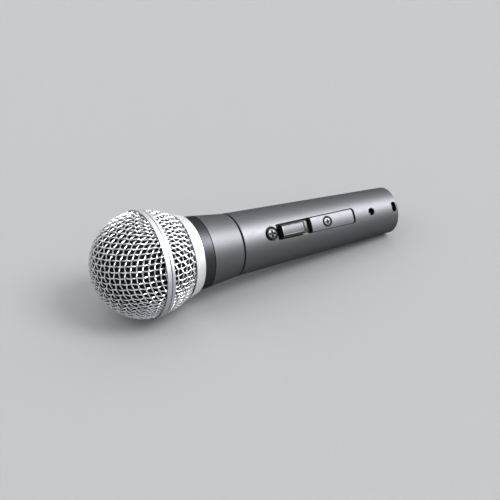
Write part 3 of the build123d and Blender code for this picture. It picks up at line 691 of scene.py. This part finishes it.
def foam_profile():
    """Outline of the foam shell, down its outside and back up its inside: radius, height."""
    f = FOAM
    outer = []
    for angle in np.linspace(*FOAM_ANGLES):
        t = math.radians(angle)
        length = f["front"] if angle >= 0 else f["rear"]
        point = (f["radius"] * math.cos(t), f["centre"] + length * math.sin(t))
        if point[1] >= f["low"]:
            outer.append(point)
    inner = []
    for r, z in outer:
        height = (z - f["centre"]) * (1 - f["thick"] / f["front"])
        inner.append((max(r - f["thick"] * r / f["radius"], 0.0), f["centre"] + height))
    return outer[1:] + inner[:0:-1]


def foam_lining(material):
    """Soft open shell inside the cloth, a little uneven, as cut foam is."""
    rng = np.random.default_rng(FOAM_SEED)
    profile = foam_profile()
    verts = []
    for r, z in profile:
        for k in range(FOAM_AROUND):
            a = 2 * math.pi * k / FOAM_AROUND
            dent = FOAM_DENT * rng.random()
            verts.append(((r - dent) * math.cos(a), (r - dent) * math.sin(a), z))
    faces = []
    last = (len(profile) - 1) * FOAM_AROUND
    for row in range(0, last, FOAM_AROUND):
        for k in range(FOAM_AROUND):
            a = row + k
            b = row + (k + 1) % FOAM_AROUND
            faces.append((a, a + FOAM_AROUND, b + FOAM_AROUND, b))
    faces.append(tuple(range(FOAM_AROUND)))
    faces.append(tuple(last + k for k in reversed(range(FOAM_AROUND))))
    made = piece("foam_windscreen", verts, faces, "windscreen", "foam", material)
    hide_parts("foam_liner")


# ---- thread ----

def neck_thread(material):
    """Single helical ridge on the collar's neck, which the grille screws on."""
    low, high = THREAD_Z
    count = int((high - low) / THREAD_PITCH * THREAD_SIDES)
    foot = THREAD_ROOT - THREAD_SINK
    verts = []
    for k in range(count + 1):
        a = 2 * math.pi * k / THREAD_SIDES
        z = low + THREAD_PITCH * k / THREAD_SIDES
        rise = min(1.0, k / THREAD_SIDES * THREAD_FADES, (count - k) / THREAD_SIDES * THREAD_FADES)
        crest = THREAD_ROOT + (THREAD_CREST - THREAD_ROOT) * rise
        section = ((foot, -THREAD_HALF), (crest, -THREAD_FLAT), (crest, THREAD_FLAT),
                   (foot, THREAD_HALF))
        verts.extend((r * math.cos(a), r * math.sin(a), z + dz) for r, dz in section)
    faces = []
    for k in range(count):
        for s in range(THREAD_CORNERS):
            a = THREAD_CORNERS * k + s
            b = THREAD_CORNERS * k + (s + 1) % THREAD_CORNERS
            faces.append((a, b, b + THREAD_CORNERS, a + THREAD_CORNERS))
    faces.append(tuple(reversed(range(THREAD_CORNERS))))
    faces.append(tuple(THREAD_CORNERS * count + s for s in range(THREAD_CORNERS)))
    piece("neck_thread", verts, faces, "handle", "handle_enamel", material, smooth=False)


# ---- flexible leads ----

def flexing_leads(material):
    """The cartridge's two leads, copied in place of the imported node with their own finish."""
    made = add_object("flexing_leads", frame["nodes"]["cartridge_leads"].data.copy())
    made.data.materials.clear()
    made.data.materials.append(material)
    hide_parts("cartridge_leads")
    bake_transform(made)


# ---- surroundings ----

def floor():
    """A plain pale floor under the microphone."""
    mesh = bpy.data.meshes.new("floor")
    signs = ((-1, -1), (1, -1), (1, 1), (-1, 1))
    mesh.from_pydata([(x * FLOOR_HALF, y * FLOOR_HALF, 0) for x, y in signs], [], [(0, 1, 2, 3)])
    f = Finish("pale_floor", FLOOR_COLOR, roughness=0.7, Specular_IOR_Level=0.15)
    mesh.materials.append(f.material)
    add_object("floor", mesh)


def soft_sun(name, source, spread, strength, lights_all):
    """A distant soft light that reaches the whole floor evenly."""
    data = bpy.data.lights.new(name, "SUN")
    data.angle = math.radians(spread)
    data.energy = strength
    made = add_object(name, data)
    made.rotation_euler = (-Vector(source)).to_track_quat("-Z", "Y").to_euler()
    made.visible_diffuse = lights_all


def lights():
    """Soft studio light: a pale world and the soft suns."""
    world = bpy.data.worlds.new("studio")
    bpy.context.scene.world = world
    world.use_nodes = True
    background = world.node_tree.nodes["Background"]
    background.inputs["Color"].default_value = WORLD_COLOR
    background.inputs["Strength"].default_value = WORLD_STRENGTH
    for name, settings in SUNS.items():
        soft_sun(name, *settings)
    bpy.context.scene.view_settings.view_transform = "Standard"


def camera():
    """The photograph's viewing angle: above and to the left of the grille end."""
    azimuth, elevation = math.radians(CAMERA_AZIMUTH), math.radians(CAMERA_ELEVATION)
    level = math.cos(elevation)
    look = Vector((-math.sin(azimuth) * level, math.cos(azimuth) * level, -math.sin(elevation)))
    data = bpy.data.cameras.new("camera")
    data.sensor_width = CAMERA_SENSOR
    data.lens = CAMERA_LENS
    data.clip_start = CAMERA_CLIP
    made = add_object("camera", data)
    made.location = Vector(CAMERA_AIM) - look * CAMERA_DISTANCE
    made.rotation_euler = look.to_track_quat("-Z", "Y").to_euler()
    bpy.context.scene.camera = made


# ---- build ----

camera()
lights()
floor()
finishes = make_materials()
dress_cad_nodes(finishes)
woven_cloth("front_cloth", FRONT, "grille", "front_mesh", finishes["wire_cloth"])
woven_cloth("rear_cloth", REAR, "grille", "rear_mesh", finishes["wire_cloth"])
foam_lining(finishes["foam"])
neck_thread(finishes["collar_enamel"])
flexing_leads(finishes["lead_jacket"])
